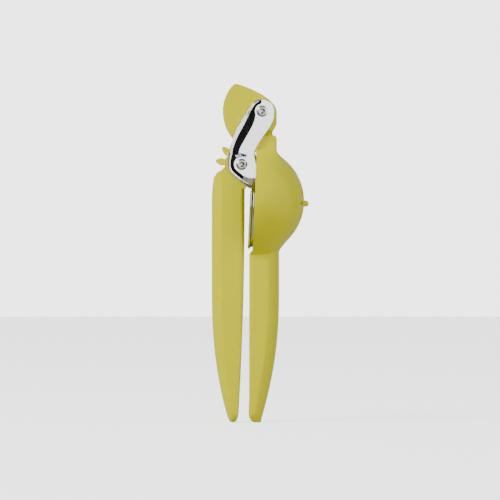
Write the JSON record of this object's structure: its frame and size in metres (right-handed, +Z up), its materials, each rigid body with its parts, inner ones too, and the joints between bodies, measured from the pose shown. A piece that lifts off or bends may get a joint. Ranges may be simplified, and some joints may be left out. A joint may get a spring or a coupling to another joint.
{
  "type": "geared citrus press",
  "caption": "Hand-held geared citrus press: nylon bowl with fixed grip, steel plunger on two arms, geared lever.",
  "frame": {"origin": "on the surface under the grip tips, midway between the back of the lever and the nipple and midway across", "axes": "+Z up along the grips towards the head, +X from the lever to the bowl, +Y to the left when looking along +X"},
  "size_m": [0.066, 0.0734, 0.2291],
  "materials": {
    "yellow_nylon": "satin moulded nylon",
    "polished_steel": "polished",
    "rivet_steel": "turned",
    "dowel_steel": "ground",
    "clear_nylon": "plain"
  },
  "bodies": {
    "frame": {"bowl_frame": "yellow_nylon", "fixed_gear": "yellow_nylon", "gear_cover_right": "yellow_nylon", "gear_cover_left": "yellow_nylon", "cover_dowels": "dowel_steel", "neck_dowels": "dowel_steel", "upper_bush": "dowel_steel"},
    "plunger": {"arm_right": "polished_steel", "arm_left": "polished_steel", "plunger_dome": "polished_steel", "bridge": "polished_steel", "bridge_rivets": "rivet_steel", "upper_pin": "rivet_steel", "lower_pin": "rivet_steel", "upper_washers": "clear_nylon", "lower_washers": "clear_nylon"},
    "lever": {"lever_handle": "yellow_nylon", "lever_gear": "yellow_nylon", "lower_bush": "dowel_steel", "lever_dowels": "dowel_steel"}
  },
  "joints": [
    {"name": "plunger_swing", "type": "hinge", "parent": "frame", "child": "plunger", "pos_m": [0.00122, 0, 0.2106], "axis": [0, 1, 0], "range_deg": [-0.75, 55]},
    {"name": "lever_pivot", "type": "hinge", "parent": "plunger", "child": "lever", "pos_m": [-0.01258, 0, 0.17466], "axis": [0, 1, 0], "range_deg": [-1.2, 85.1]}
  ],
  "couplings": [
    {"joint": "lever_pivot", "follows": "plunger_swing", "ratio": 1.5455}
  ]
}
